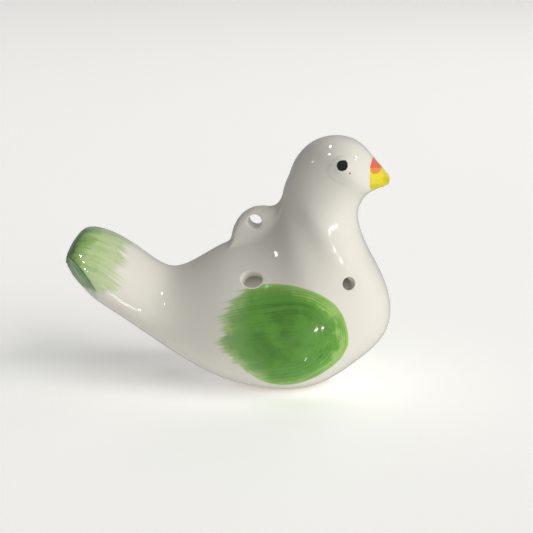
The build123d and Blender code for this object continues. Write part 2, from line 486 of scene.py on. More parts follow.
def holeEdges(middle, axes, near, radius, lip, oval=1.0, inset=0.0):
    # The grid rectangle that makes way for a hole, its edge, and for each point of that edge the
    # places on the hole's soft rim, on its sharp rim and on the hollow's wall
    def circle(angle, size):
        return middle + size * np.stack([np.cos(angle), oval * np.sin(angle)], -1)

    around = np.linspace(0, 2 * np.pi, 48, endpoint=False)
    trial = landOn(circle(around, radius + lip), axes, *(np.full(48, v) for v in near))
    i0, i1, j0, j1 = rectangleRound([trial, landOn(circle(around, radius), axes, *trial, inset)])
    i, j = perimeter(i0, i1, j0, j1)
    edge = (rows[i], columns[j])
    flat = skin(*edge) @ axes.T - middle
    angle = np.arctan2(flat[:, 1], flat[:, 0])
    guess = [np.full(len(i), places.mean()) for places in trial]
    rim = landOn(circle(angle, radius + lip), axes, *guess)
    sharp = landOn(circle(angle, radius), axes, *guess)
    inner = landOn(circle(angle, radius), axes, *guess, inset)
    return (i0, i1, j0, j1), edge, rim, sharp, inner


def stitchHole(body, edge, rim, sharp, inner, into, closed=True):
    # Rings from the gap in the grid to the soft rim, the lip and the bore, and rings back out on
    # the hollow's wall. A slot that isn't closed ends on the root plane and runs the other way.
    wall, way = dove["wall"], {"wrap": closed, "flip": not closed}
    outerPoints, outerNormals = skinRings(edge, rim)
    addGrid(body, outerPoints, outerNormals, **way)
    corner = skin(*sharp)
    lip = lipCurve(outerPoints[-1], corner, corner + into)
    bore = lip[-1] + (skin(*inner, wall) - lip[-1]) * steps(boreSteps)
    tube = np.concatenate([lip, bore[1:]])
    normals = gridNormals(tube, closed) * (1 if closed else -1)
    normals[0] = outerNormals[-1]
    addGrid(body, tube, normals, layer="bare", **way)
    innerPoints, innerNormals = skinRings(edge, inner, wall)
    addGrid(body, innerPoints[::-1], -innerNormals[::-1], layer="hollow", **way)
    return outerPoints, tube, innerPoints


def cutFingerHole(body, outerGap, innerGap, hole):
    # A round bore through the wall, with a soft lip of glaze
    axes = acrossAxes(hole["out"])
    middle = np.array(hole["centre"]) @ axes.T
    (i0, i1, j0, j1), *places = holeEdges(
        middle, axes, hole["near"], hole["radius"], hole["lip"], hole["oval"], dove["wall"])
    stitchHole(body, *places, -unit(np.array(hole["out"])) * hole["lip"])
    outerGap[i0:i1, j0:j1] = True
    innerGap[i0:i1, j0:j1] = True


def cutCordHole(body, outerGap):
    # From side to side through the ring behind the neck
    axes = np.array([(1.0, 0, 0), (0, 0, 1.0)])
    near = (8.0, 0.5 * lug["share"])
    (i0, i1, j0, j1), *places = holeEdges(
        np.array(lug["hole"]), axes, near, lug["holeRadius"], lug["holeLip"])
    ends = []
    for mirror in (False, True):
        edge, rim, sharp, _ = [(u, 4 - s if mirror else s) for u, s in places]
        points, normals = skinRings(edge, rim)
        addGrid(body, points, normals, wrap=True, flip=mirror)
        corner = skin(*sharp)
        inward = np.array((0, -1.0 if mirror else 1.0, 0)) * lug["holeLip"]
        lip = lipCurve(points[-1], corner, corner + inward)
        lipNormals = gridNormals(lip, True) * (-1 if mirror else 1)
        lipNormals[0] = normals[-1]
        addGrid(body, lip, lipNormals, wrap=True, flip=mirror)
        ends.append(lip[-1])
    addGrid(body, ends[0] + (ends[1] - ends[0]) * steps(boreSteps), wrap=True)
    outerGap[i0:i1, j0:j1] = True
    outerGap[i0:i1, len(columns) - j1:len(columns) - j0] = True


window = {
    "length": 14.2,         # along the belly, from the root of the tail
    "halfWidth": 5.45,
    "squareness": 14,
    "lip": 0.35,
}


def ribPlane(rib):
    # A rib's belly point, the way up it and the way square to it, towards the beak
    belly = ribs[rib, 2:4]
    rise = unit(ribs[rib, 0:2] - belly)
    up = np.array((rise[0], 0, rise[1]))
    forward = np.array((rise[1], 0, -rise[0]))
    return np.array((belly[0], 0, belly[1])), up, forward


rootBelly, rootUp, rootForward = ribPlane(int(rootRib))


def roundedBox(angle, wide, high, squareness):
    # Distance from the middle of a rounded rectangle to its outline, by angle:
    # 1 / R^n = (|cos| / wide)^n + (|sin| / high)^n
    across, up = np.abs(np.cos(angle)) / wide, np.abs(np.sin(angle)) / high
    return (across ** squareness + up ** squareness) ** (-1 / squareness)


def cutWindow(body, outerGap, innerGap):
    # The slot of window and labium: open towards the tail, cut square to the root plane
    axes = np.array([rootForward, (0, 1.0, 0)])
    origin = rootBelly @ axes.T

    def targets(angle, grow):
        size = roundedBox(angle, window["length"] + grow, window["halfWidth"] + grow,
                          window["squareness"])
        return origin + size[:, None] * np.stack([np.cos(angle), np.sin(angle)], -1)

    def atRoot(grow, inset):
        # On the root rib, the s of the slot's right side, by halving
        low, high = 1.2, 2.0
        for _ in range(40):
            s = (low + high) / 2
            far = -skin(rootRib, s, inset)[1] > window["halfWidth"] + grow
            low, high = (s, high) if far else (low, s)
        return s

    def rimOf(angle, grow, inset):
        guess = (np.full(len(angle), 5.5), 2 + 0.1 * np.sin(angle))
        u, s = landOn(targets(angle, grow), axes, *guess, inset)
        s[0] = atRoot(grow, inset)
        s[-1] = 4 - s[0]
        u[[0, -1]] = rootRib
        return u, s

    turn = np.linspace(-np.pi / 2, np.pi / 2, 61)
    trial = [rimOf(turn, window["lip"], 0.0), rimOf(turn, 0.0, dove["wall"])]
    _, i1, j0, j1 = rectangleRound(trial)
    i = np.concatenate([np.arange(0, i1), np.full(j1 - j0, i1), np.arange(i1, -1, -1)])
    j = np.concatenate([np.full(i1, j0), np.arange(j0, j1), np.full(i1 + 1, j1)])
    edge = (rows[i], columns[j])
    flat = skin(*edge) @ axes.T - origin
    angle = np.arctan2(flat[:, 1], flat[:, 0])
    angle = np.clip(angle, -np.pi / 2, np.pi / 2)
    angle[0], angle[-1] = -np.pi / 2, np.pi / 2
    angle = np.maximum.accumulate(angle)
    spread = np.linspace(-np.pi / 2, np.pi / 2, len(angle))
    angle = 0.85 * angle + 0.15 * spread
    rim = rimOf(angle, window["lip"], 0.0)
    sharp = rimOf(angle, 0.0, 0.0)
    inner = rimOf(angle, 0.0, dove["wall"])
    outerGap[0:i1, j0:j1] = True
    innerGap[0:i1, j0:j1] = True
    into = rootUp * window["lip"]
    return *stitchHole(body, edge, rim, sharp, inner, into, closed=False), j0, j1


def closeRoot(body, outerRings, tube, innerRings, j0, j1):
    # The flat ring on the root plane, from one side of the slot over the back to the other
    over = np.concatenate([np.arange(j1, len(columns)), np.arange(0, j0 + 1)])
    outer = skin(rootRib, columns[over])
    inner = skin(rootRib, columns[over], dove["wall"])
    outer = np.concatenate([outerRings[:0:-1, -1], outer, outerRings[1:, 0]])
    inner = np.concatenate([innerRings[:0:-1, -1], inner, innerRings[1:, 0]])
    gone = np.linalg.norm(tube[:, 0] - tube[0, 0], axis=-1)
    share = (gone / gone[-1])[:, None, None]
    ring = outer + (inner - outer) * share
    ring[:, 0] = tube[:, -1]
    ring[:, -1] = tube[:, 0]
    normals = np.broadcast_to(-rootForward, ring.shape)
    addGrid(body, ring, normals, flip=True)


def capRows(ring, count, bulge=(0, 0, 0)):
    # From a ring in to its middle, rising by bulge as a quarter of an ellipse does
    middle = ring.mean(0)
    turn = np.linspace(0, np.pi / 2, count + 1)[:, None, None]
    return middle + (ring - middle) * np.cos(turn) + np.array(bulge) * np.sin(turn)


def makeBody():
    body = newPiece()
    count = len(columns)
    outerGap = np.zeros((len(rows) - 1, count), bool)
    innerGap = np.zeros((len(rows) - 1, count), bool)
    slot = cutWindow(body, outerGap, innerGap)
    for hole in fingerHoles:
        cutFingerHole(body, outerGap, innerGap, hole)
    cutCordHole(body, outerGap)
    closeRoot(body, *slot)
    u, s = rows[:, None], columns[None, :]
    addGrid(body, skin(u, s), skinNormal(u, s), wrap=True, leaveOut=outerGap)
    wall = dove["wall"]
    hollow = skin(u, s, wall)
    inward = -skinNormal(u, s, wall)
    addGrid(body, hollow, inward, wrap=True, flip=True, leaveOut=innerGap, layer="hollow")
    addGrid(body, capRows(hollow[-1], 8, (1.6, 0, 0.4)), wrap=True, flip=True, layer="hollow")
    face = crownRib + (beakEdge - crownRib) * np.linspace(0, 1, 19)[:, None]
    around = np.broadcast_to(columns, face.shape)
    points = skin(face, around)
    addGrid(body, points, skinNormal(face, around), wrap=True)
    addGrid(body, capRows(points[-1], 6), wrap=True)
    return body


tail = {
    "rounding": 0.35,         # ribs over which its blunt end is rounded
    "endStand": 0.9,          # how far the end stands out past them
    "mouth": (-50.5, 39.5),   # centre line of the windway, (x, z), at the end
    "throat": (-20.2, 15.7),
    "windwayWidth": 11.0,
    "windwayHeight": 2.0,
    "squareness": 7,
    "lip": 0.8,
}


def windwayRing(angle, centre, flow, grow):
    # A flat rounded slot square to the flow, by angle
    side = np.array((0, 1.0, 0))
    up = unit(np.cross(flow, side))
    size = roundedBox(angle, tail["windwayWidth"] / 2 + grow, tail["windwayHeight"] / 2 + grow,
                      tail["squareness"])
    ring = np.cos(angle)[:, None] * side + np.sin(angle)[:, None] * up
    return centre + size[:, None] * ring


def slideToPlane(ring, flow, origin, normal):
    # Moves points along the flow until they lie in a plane
    gap = (origin - ring) @ normal / (flow @ normal)
    return ring + gap[:, None] * flow


def makeTail():
    piece = newPiece()
    u = np.concatenate([
        np.linspace(tail["rounding"], 1.2, 12)[:-1],
        np.linspace(1.2, 3.2, 44)[:-1],     # closer across the facet's edge
        np.linspace(3.2, rootRib, 30),
    ])
    points = skin(u[:, None], columns)
    addGrid(piece, points, skinNormal(u[:, None], columns), wrap=True)
    mouth = np.array((tail["mouth"][0], 0, tail["mouth"][1]))
    throat = np.array((tail["throat"][0], 0, tail["throat"][1]))
    flow = unit(throat - mouth)
    side = np.array((0, 1.0, 0))
    upright = unit(np.cross(flow, side))
    # End face: the ring shrinks to the slot and stands out by a quarter of an ellipse
    first = points[0]
    endCentre = first.mean(0)
    outward = -ribPlane(0)[2]
    offset = first - endCentre
    angle = np.arctan2(offset @ upright * 2.2, offset @ side)
    turn = steps(21) * np.pi / 2
    endPlane = endCentre + outward * tail["endStand"]
    rim = slideToPlane(windwayRing(angle, mouth, flow, tail["lip"]), flow, endPlane, outward)
    along = (rim - first) @ outward
    flatPart = (rim - first) - along[:, None] * outward
    face = first + flatPart * (1 - np.cos(turn)) + outward * (along[:, None] * np.sin(turn))
    normals = -gridNormals(face, True)
    normals[0] = skinNormal(np.full(len(columns), tail["rounding"]), columns)
    addGrid(piece, face, normals, wrap=True, flip=True)
    sharp = slideToPlane(windwayRing(angle, mouth, flow, 0), flow, endPlane, outward)
    lip = lipCurve(face[-1], sharp, sharp + flow * tail["lip"])
    lipNormals = -gridNormals(lip, True)
    lipNormals[0] = outward
    addGrid(piece, lip, lipNormals, wrap=True, flip=True)
    end = slideToPlane(windwayRing(angle, mouth, flow, 0), flow, rootBelly, rootForward)
    addGrid(piece, lip[-1] + (end - lip[-1]) * steps(30), wrap=True, flip=True)
    addGrid(piece, end + (points[-1] - end) * steps(12), wrap=True, flip=True)
    return piece


beak = {
    "tipStand": 0.85,       # how far the tip is rounded out
    "dents": [              # centre, half length, half height, depth
        ((45.0, -5.3, 65.6), 1.3, 0.55, 0.16),
        ((47.3, -3.6, 65.5), 0.75, 0.65, 0.22),
    ],
}


def beakRelief(points):
    # How far the beak's surface stands out of the plain skin: shallow dents on both sides
    x, y, z = points[..., 0], np.abs(points[..., 1]), points[..., 2]
    rise = np.zeros_like(x)
    for (cx, cy, cz), long, high, depth in beak["dents"]:
        reach = ((x - cx) / long) ** 2 + ((z - cz) / high) ** 2 + ((y + cy) / 3) ** 2
        rise = rise - depth * np.exp(-reach)
    return rise


def makeBeak():
    piece = newPiece()
    u = beakEdge + (22 - beakEdge) * np.linspace(0, 1, 52)[:, None]
    around = np.broadcast_to(columns, u.shape)
    points, normals = skin(u, around), skinNormal(u, around)
    points = points + normals * beakRelief(points)[..., None]
    shaded = gridNormals(points, True)
    shaded[0] = normals[0]
    addGrid(piece, points, shaded, wrap=True)
    tip = capRows(points[-1], 10, (beak["tipStand"], 0, -0.1))
    tipNormals = gridNormals(tip, True)
    tipNormals[0] = shaded[-1]
    tipNormals[-1] = (1, 0, -0.1)
    addGrid(piece, tip, tipNormals, wrap=True)
    addGrid(piece, capRows(points[0], 6), wrap=True, flip=True)
    return piece


eye = {
    "centre": (36.4, -12.6, 70.3),
    "out": (0.06, -0.975, 0.21),
    "halfLength": 6.2,
    "halfHeight": 4.9,
    "backing": 0.9,           # how deep it goes into the head
    "pointed": 0.30,          # how much the corners are drawn out
    "lidPlace": 0.76,         # the lid's ridge, as a share of the way to the edge
    "lidWidth": 0.16,
    "padRise": 0.22,
    "lidRise": 0.11,
    "ballCentre": (-0.9, 1.25),
    "ballRadius": 3.4,
    "ballRise": 0.30,
    "sink": 0.10,             # how far its edge dips under the face's glaze
    "pupil": (-0.9, 1.45, 1.0),
    "pupilEdge": (2.12, 2.00),    # radius where the black starts, and where it is full
    "fleck": (1.25, -0.75, 1.0),
    "fleckEdge": (0.32, 0.18),
}


def eyeHeight(a, b, share):
    # Height over the head: a low pad, the lids round it, higher at the brow, and the ball inside
    pad = eye["padRise"] * (1 - share ** 2)
    turn = np.arctan2(b, a)
    uneven = 1 + 0.9 * np.cos(turn - 0.7) * np.clip(share, 0, 1)
    lid = eye["lidRise"] * uneven * np.exp(-((share - eye["lidPlace"]) / eye["lidWidth"]) ** 2)
    cx, cy = eye["ballCentre"]
    far = np.hypot(a - cx, b - cy) / eye["ballRadius"]
    ball = eye["ballRise"] * (0.5 + 0.5 * np.cos(np.pi * np.clip(far, 0, 1)))
    return pad + lid + ball - eye["sink"] * share ** 6


def makeEye(side):
    # side is -1 on the right and 1 on the left
    piece = newPiece()
    mirror = np.array((1, -side, 1))
    out = unit(np.array(eye["out"])) * mirror
    first = unit(np.cross((0, 0, 1), out)) * -side
    axes = np.array([first, unit(np.array((0, 0, 1.0)) - out * out[2])])
    middle = (np.array(eye["centre"]) * mirror) @ axes.T
    turn = np.linspace(0, 2 * np.pi, 120, endpoint=False)
    share = np.linspace(1, 0, 44)[:, None]
    a = eye["halfLength"] * np.cos(turn) * share
    b = eye["halfHeight"] * np.sin(turn) * np.abs(np.sin(turn)) ** eye["pointed"] * share
    targets = middle + np.stack([a, b], -1)
    startS = 0.75 if side < 0 else 3.25
    u, s = landOn(targets, axes, np.full(a.shape, 16.5), np.full(a.shape, startS))
    height = eyeHeight(a, b, np.broadcast_to(share, a.shape))
    plain, normals = skin(u, s), skinNormal(u, s)
    points = plain + normals * height[..., None]
    shaded = gridNormals(points, True) * -side
    shaded[0] = normals[0]
    shaded[-1] = shaded[-2].mean(0)
    flip = side > 0
    addGrid(piece, points, shaded, wrap=True, flip=flip)
    backing = plain - normals * eye["backing"]
    addGrid(piece, np.stack([points[0], backing[0]]), wrap=True, flip=not flip)
    addGrid(piece, backing, -normals, wrap=True, flip=not flip)
    front = np.stack([a, b, np.ones_like(a)], -1).reshape(-1, 3)
    piece["map"] = np.concatenate([front, np.full((len(turn) * 2 + a.size, 3), -50.0)])
    return piece


wing = {
    "outline": [(-0.6, 17.0), (-1.0, 22.0), (-0.2, 27.5), (2.6, 32.0), (7.6, 34.6), (14.5, 36.2),
                (22.8, 36.3), (29.0, 34.8), (34.0, 31.4), (37.4, 26.0), (38.5, 19.8), (37.0, 13.8),
                (33.1, 9.2), (27.4, 5.8), (21.0, 3.8), (14.2, 4.6), (8.4, 8.4), (2.6, 12.6)],
    "strokeCentre": (27.0, 19.5),
    "roundEnd": 1.4,       # how much tighter the strokes turn than a circle
    "bow": 0.006,          # how far the long strokes arch upwards
    "reach": 16.0,         # half height of the painted shape
    "keptClear": 3.0,      # nothing is painted this near the middle plane
}
tailPaint = {
    "direction": (0.905, -0.425),     # (x, z) along the strokes, away from the tip
    "end": -43.6,                     # how far along the strokes reach
    "lowest": 31.2,                   # where the paint stops below
}


def closedCurve(points, count):
    # A smooth closed curve through the points: the spline of three turns, of which the middle one
    points = np.array(points, float)
    thrice = np.vstack([points, points, points, points[:1]])
    place = np.concatenate([[0], np.cumsum(np.hypot(*np.diff(thrice, axis=0).T))])
    bends = splineBends(place, thrice)
    turn = np.linspace(place[len(points)], place[2 * len(points)], count, endpoint=False)
    return splineAt(place, thrice, bends, turn)


def distanceInside(x, z, outline):
    # Distance to the closed outline, more than 0 inside it
    ends = np.roll(outline, -1, 0)
    best = np.full(x.shape, 1e9)
    inside = np.zeros(x.shape, bool)
    for (ax, az), (bx, bz) in zip(outline, ends):
        dx, dz = bx - ax, bz - az
        t = np.clip(((x - ax) * dx + (z - az) * dz) / (dx ** 2 + dz ** 2), 0, 1)
        best = np.minimum(best, np.hypot(x - ax - t * dx, z - az - t * dz))
        crosses = (az > z) != (bz > z)
        inside ^= crosses & (x < ax + (z - az) / np.where(dz == 0, 1e-9, dz) * dx)
    return np.where(inside, best, -best)


def wingMaps(points, outer):
    # brush: along the stroke, across the strokes, and which side of the middle
    # edge: distance inside the painted shape, how ragged it is there, and how the paint thins out
    # load: how much paint the brush left, how plain its streaks are, and rings where it turned
    x, y, z = points.T
    inside = distanceInside(x, z, closedCurve(wing["outline"], 90))
    cx, cz = wing["strokeCentre"]
    ahead = np.maximum(x - cx, 0) * wing["roundEnd"]
    bowed = z - cz + wing["bow"] * (x - cx) ** 2
    turned = np.clip((x - 14) / 16, 0, 1)
    turned = turned * turned * (3 - 2 * turned)
    level = np.hypot(ahead, bowed) * (1 - turned) + (wing["reach"] - inside) * turned
    angle = np.arctan2(bowed, ahead + 1e-6)
    along = np.where(x > cx, -(np.pi / 2 - np.abs(angle)) * 12, cx - x)
    half = np.sin(angle) * 6 * np.clip(level / 5, 0, 1)
    ragged = np.clip((9 - x) / 9, 0, 1)
    fadeUp = np.clip((9 - x) / 12, 0, 1) * np.clip((z - 27) / 9, 0, 1)
    fadeLow = np.clip((15 - x) / 13, 0, 1) * np.clip((15 - z) / 8, 0, 1)
    load = np.clip((x + 1) / 12, 0, 1) * np.clip(inside / 5, 0, 1)
    load = load * (1 - 0.35 * np.clip((x - 20) / 14, 0, 1))
    calm = np.clip(level / 9, 0.15, 1)
    inside = np.where(outer & (np.abs(y) > wing["keptClear"]), inside, -20)
    return {"brush": np.stack([along, level, half + np.sign(y) * 40], -1),
            "edge": np.stack([inside, ragged, np.maximum(fadeUp, fadeLow)], -1),
            "load": np.stack([load, calm, np.clip((x - 16) / 8, 0, 1)], -1)}


def tailMaps(points, outer):
    # The same three. The paint is darkest at the tip. The pressed facet gets the dark paint as
    # painted shade, and a lighter strip at its very edge as a painted reflection.
    x, y, z = points.T
    dx, dz = tailPaint["direction"]
    along = x * dx + z * dz
    up = x * -dz + z * dx
    end = tailPaint["end"] - 1.2 * np.clip((16 - np.abs(y)) / 16, 0, 1)
    end = end + 0.42 * np.clip(38 - z, 0, 8)
    low = (z - tailPaint["lowest"]) - 0.1 * (x + 32)
    inside = np.minimum(end - along, low * 1.4)
    ragged = np.clip((along + 56) / 8, 0, 1)
    nx, ny, nz = facetNormal
    under = dove["facetOffset"] - x * nx - np.abs(y * ny) - z * nz
    # Painted shade on the pressed facet, less a painted reflection strip along its edge; both go
    # into the paint load
    facet = 1.6 * np.clip((0.55 - under) / 0.35, 0, 1) - 0.5 * np.clip((0.08 - under) / 0.08, 0, 1)
    load = np.maximum(1.5 * np.clip((-55.0 - along) / 6, 0, 1), facet)
    calm = np.clip((along + 62) / 3, 0.15, 1)
    none = np.zeros_like(x)
    return {"brush": np.stack([along, np.abs(y), up + np.sign(y) * 40], -1),
            "edge": np.stack([inside, ragged, none], -1),
            "load": np.stack([load, calm, none], -1)}


def newGroup(name, inputs, outputs):
    group = bpy.data.node_groups.new(name, "ShaderNodeTree")
    for label, kind, value in inputs:
        socket = group.interface.new_socket(name=label, in_out="INPUT", socket_type=kind)
        if value is not None:
            socket.default_value = value
    for label, kind in outputs:
        group.interface.new_socket(name=label, in_out="OUTPUT", socket_type=kind)
    start = group.nodes.new("NodeGroupInput")
    end = group.nodes.new("NodeGroupOutput")
    return group, start, end


def addNode(tree, kind, inputs=None, **settings):
    # A node with its settings, and its inputs given as values or as sockets to link from
    node = tree.nodes.new(kind)
    for label, value in settings.items():
        setattr(node, label, value)
    for label, value in (inputs or {}).items():
        if isinstance(value, bpy.types.NodeSocket):
            tree.links.new(value, node.inputs[label])
        else:
            node.inputs[label].default_value = value
    return node


def mathNode(tree, operation, *values, clamp=False):
    inputs = dict(enumerate(values))
    return addNode(tree, "ShaderNodeMath", inputs, operation=operation, use_clamp=clamp).outputs[0]


def plus(tree, first, second):
    return mathNode(tree, "ADD", first, second)


def times(tree, first, second, clamp=False):
    return mathNode(tree, "MULTIPLY", first, second, clamp=clamp)


def scaled(tree, value, factor, offset):
    # value times factor, plus offset
    return mathNode(tree, "MULTIPLY_ADD", value, factor, offset)


def centred(tree, noise, factor):
    # A noise of 0 to 1 as a value that swings to both sides of 0
    return times(tree, mathNode(tree, "SUBTRACT", noise, 0.5), factor)


def objectPlace(tree):
    return addNode(tree, "ShaderNodeTexCoord").outputs["Object"]


def attributeNode(tree, name):
    return addNode(tree, "ShaderNodeAttribute", attribute_name=name).outputs["Vector"]


def splitVector(tree, vector):
    return list(addNode(tree, "ShaderNodeSeparateXYZ", {"Vector": vector}).outputs)


def distanceNode(tree, first, second):
    inputs = {0: first, 1: second}
    return addNode(tree, "ShaderNodeVectorMath", inputs, operation="DISTANCE").outputs["Value"]


def noiseNode(tree, vector, scale, detail=2.0, rough=0.5, distortion=0.0):
    values = {"Vector": vector, "Scale": scale, "Detail": detail, "Roughness": rough,
              "Distortion": distortion}
    return addNode(tree, "ShaderNodeTexNoise", values).outputs["Fac"]


def rampNode(tree, value, low, high):
    # 0 at low and 1 at high, with a soft start and end
    inputs = {"Value": value, "From Min": low, "From Max": high}
    node = addNode(tree, "ShaderNodeMapRange", inputs, interpolation_type="SMOOTHSTEP")
    return node.outputs["Result"]


def rangeNode(tree, value, start, end, low=0.0, high=1.0):
    # start to end, in a straight line, as the value goes from low to high
    inputs = {"Value": value, "From Min": low, "From Max": high, "To Min": start, "To Max": end}
    return addNode(tree, "ShaderNodeMapRange", inputs).outputs["Result"]


def mixColour(tree, share, first, second):
    inputs = {0: share, 6: first, 7: second}
    return addNode(tree, "ShaderNodeMix", inputs, data_type="RGBA").outputs[2]


def colour(red, green, blue):
    # Display values 0..255 as a linear colour
    def linear(value):
        return value / 12.92 if value <= 0.04045 else ((value + 0.055) / 1.055) ** 2.4

    return linear(red / 255), linear(green / 255), linear(blue / 255), 1.0


def glazeGroup():
    # The fired glaze over any colour: slow clouds of thickness, rare iron specks, a faint
    # orange-peel height and a gloss that varies a little
    group, start, end = newGroup(
        "firedGlaze",
        [("Colour", "NodeSocketColor", (1, 1, 1, 1)),
         ("Thin", "NodeSocketColor", (0.6, 0.5, 0.4, 1)),
         ("Clouds", "NodeSocketFloat", 0.5),
         ("Specks", "NodeSocketFloat", 0.5)],
        [("Colour", "NodeSocketColor"), ("Roughness", "NodeSocketFloat"),
         ("Height", "NodeSocketFloat")],
    )
    place = objectPlace(group)
    cloud = noiseNode(group, place, 55.0, 3.0, 0.55)
    share = times(group, rampNode(group, cloud, 0.42, 0.80), start.outputs["Clouds"])
    tinted = mixColour(group, share, start.outputs["Colour"], start.outputs["Thin"])
    cells = addNode(group, "ShaderNodeTexVoronoi", {"Vector": place, "Scale": 210.0}).outputs
    rare = addNode(group, "ShaderNodeSeparateColor", {"Color": cells["Color"]}).outputs["Red"]
    dot = rampNode(group, cells["Distance"], 0.11, 0.05)
    chosen = mathNode(group, "GREATER_THAN", rare, 0.985)
    speck = times(group, times(group, dot, chosen), start.outputs["Specks"])
    spotted = mixColour(group, speck, tinted, finish["speck"])
    peel = noiseNode(group, place, 420.0, 2.0, 0.5)
    wave = noiseNode(group, place, 90.0, 1.0, 0.4)
    group.links.new(spotted, end.inputs["Colour"])
    group.links.new(rangeNode(group, cloud, 0.07, 0.13), end.inputs["Roughness"])
    height = plus(group, times(group, peel, 0.16), times(group, wave, 0.35))
    group.links.new(height, end.inputs["Height"])
    return group


def brushGroup():
    # Underglaze paint laid on with a brush: hair streaks, bands where the brush overlapped,
    # an edge that frays where the strokes leave off, and a lighter rim
    vectors = [(label, "NodeSocketVector", None) for label in ("Brush", "Edge", "Load")]
    values = [("Fray", "NodeSocketFloat", 3.0), ("Rim", "NodeSocketFloat", 1.6)]
    paints = [(label, "NodeSocketColor", None) for label in ("Dark", "Middle", "Light", "Glaze")]
    group, start, end = newGroup(
        "brushedPaint", vectors + values + paints, [("Colour", "NodeSocketColor")])
    given = start.outputs
    inside, ragged, fade = splitVector(group, given["Edge"])
    load, calm, ringed = splitVector(group, given["Load"])

    def streak(along, across, detail, shift):
        stretched = addNode(group, "ShaderNodeMapping", {
            "Vector": given["Brush"], "Scale": (along, across, 0.35),
            "Location": (shift, shift * 1.7, shift * 0.3)})
        return noiseNode(group, stretched.outputs[0], 1.0, detail, 0.6, 0.15)

    hair = streak(0.05, 2.6, 3.0, 3.1)
    band = streak(0.035, 0.42, 2.0, 11.7)
    tongue = streak(0.02, 0.75, 2.0, 23.0)
    pale = streak(0.06, 0.30, 2.0, 31.0)
    fine = streak(0.03, 3.4, 2.0, 41.0)
    mottle = noiseNode(group, objectPlace(group), 170.0, 4.0, 0.62)

    # Where the paint reaches to
    frayed = plus(group, centred(group, tongue, given["Fray"]), centred(group, hair, 3.0))
    reach = plus(group, inside, times(group, frayed, ragged))
    reach = plus(group, reach, centred(group, band, 1.0))
    soft = scaled(group, ragged, 3.4, 0.35)
    mask = rampNode(group, mathNode(group, "DIVIDE", reach, soft), 0.0, 1.0)

    # Light, middle or dark
    stroke = plus(group, scaled(group, hair, 0.95, -0.475), scaled(group, band, 0.75, -0.375))
    rings = times(group, scaled(group, fine, 1.5, -0.75), ringed)
    rings = times(group, rings, rampNode(group, inside, 7.0, 1.0))
    tone = scaled(group, load, 0.60, scaled(group, mottle, 1.1, -0.55))
    tone = plus(group, plus(group, tone, times(group, stroke, calm)), rings)
    shaded = mixColour(group, rampNode(group, tone, -0.10, 0.34), given["Light"], given["Middle"])
    shaded = mixColour(group, rampNode(group, tone, 0.36, 0.86), shaded, given["Dark"])
    rim = rampNode(group, mathNode(group, "DIVIDE", inside, given["Rim"]), 1.0, 0.0)
    rim = scaled(group, rampNode(group, reach, 1.1, 0.2), 0.45, times(group, rim, 0.40))
    shaded = mixColour(group, rim, shaded, given["Light"])

    # Thin or missing paint between the bristles
    thin = times(group, rampNode(group, pale, 0.35, 0.62), fade, clamp=True)
    thin = mathNode(group, "MAXIMUM", thin, times(group, fade, 0.45))
    gap = times(group, rampNode(group, hair, 0.56, 0.70), ragged)
    gap = times(group, gap, rampNode(group, reach, 4.5, 0.5))
    thin = mathNode(group, "MAXIMUM", thin, times(group, gap, 0.8))
    cover = mathNode(group, "SUBTRACT", 1.0, thin)
    cover = times(group, cover, scaled(group, ragged, -0.22, 1.0))
    mask = times(group, mask, cover, clamp=True)
    group.links.new(mixColour(group, mask, given["Glaze"], shaded), end.inputs["Colour"])
    return group


finish = {
    "white": colour(238, 235, 226),
    "whiteThin": colour(226, 219, 203),
    "speck": colour(92, 74, 54),
    "greenDark": colour(76, 134, 40),
    "green": colour(100, 164, 60),
    "greenLight": colour(160, 204, 106),
    "tailDark": colour(78, 134, 48),
    "tailGreen": colour(150, 190, 108),
    "tailLight": colour(194, 218, 156),
    "yellow": colour(238, 226, 48),
    "yellowDeep": colour(214, 190, 20),
    "orange": colour(240, 150, 60),
    "red": colour(238, 98, 64),
    "black": colour(10, 9, 9),
    "fleck": colour(86, 76, 58),
    "bisque": colour(160, 156, 146),
    "bisqueDark": colour(140, 135, 124),
    # colour of the painted glow of the clay inside the hollow
    "paintedInsideGlow": colour(236, 231, 218),
    "foot": colour(206, 186, 150),
}
glaze = glazeGroup()
brushed = brushGroup()


def newMaterial(name):
    material = bpy.data.materials.new(name)
    material.use_nodes = True
    return material, material.node_tree, material.node_tree.nodes["Principled BSDF"].inputs


def footTint(tree, under):
    # A warm tan colour low on the foot, darker and warmer towards the bottom, with a noisy upper
    # edge
    place = objectPlace(tree)
    height = splitVector(tree, place)[2]
    low = scaled(tree, noiseNode(tree, place, 160.0, 3.0), 0.0022, height)
    share = times(tree, rampNode(tree, low, 0.0030, 0.0012), 0.8)
    return mixColour(tree, share, under, finish["foot"])


def glazedMaterial(name, paint=None, specks=0.5, clouds=0.45):
    # Glossy fired glaze; paint, where given, makes the colour that lies under it
    material, tree, shader = newMaterial(name)
    under = paint(tree) if paint else finish["white"]
    thin = mixColour(tree, 0.12, under, finish["whiteThin"]) if paint else finish["whiteThin"]
    values = {"Colour": under, "Thin": thin, "Clouds": clouds, "Specks": specks}
    surface = addNode(tree, "ShaderNodeGroup", values, node_tree=glaze).outputs
    relief = {"Height": surface["Height"], "Strength": 0.25, "Distance": 0.00025}
    bump = addNode(tree, "ShaderNodeBump", relief)
    tree.links.new(surface["Colour"], shader["Base Color"])
    tree.links.new(surface["Roughness"], shader["Roughness"])
    tree.links.new(bump.outputs[0], shader["Normal"])
    shader["IOR"].default_value = 1.52
    shader["Coat Weight"].default_value = 0.35
    shader["Coat Roughness"].default_value = 0.03
    shader["Subsurface Weight"].default_value = 0.10
    shader["Subsurface Radius"].default_value = (1.0, 0.8, 0.55)
    shader["Subsurface Scale"].default_value = 0.0012
    return material


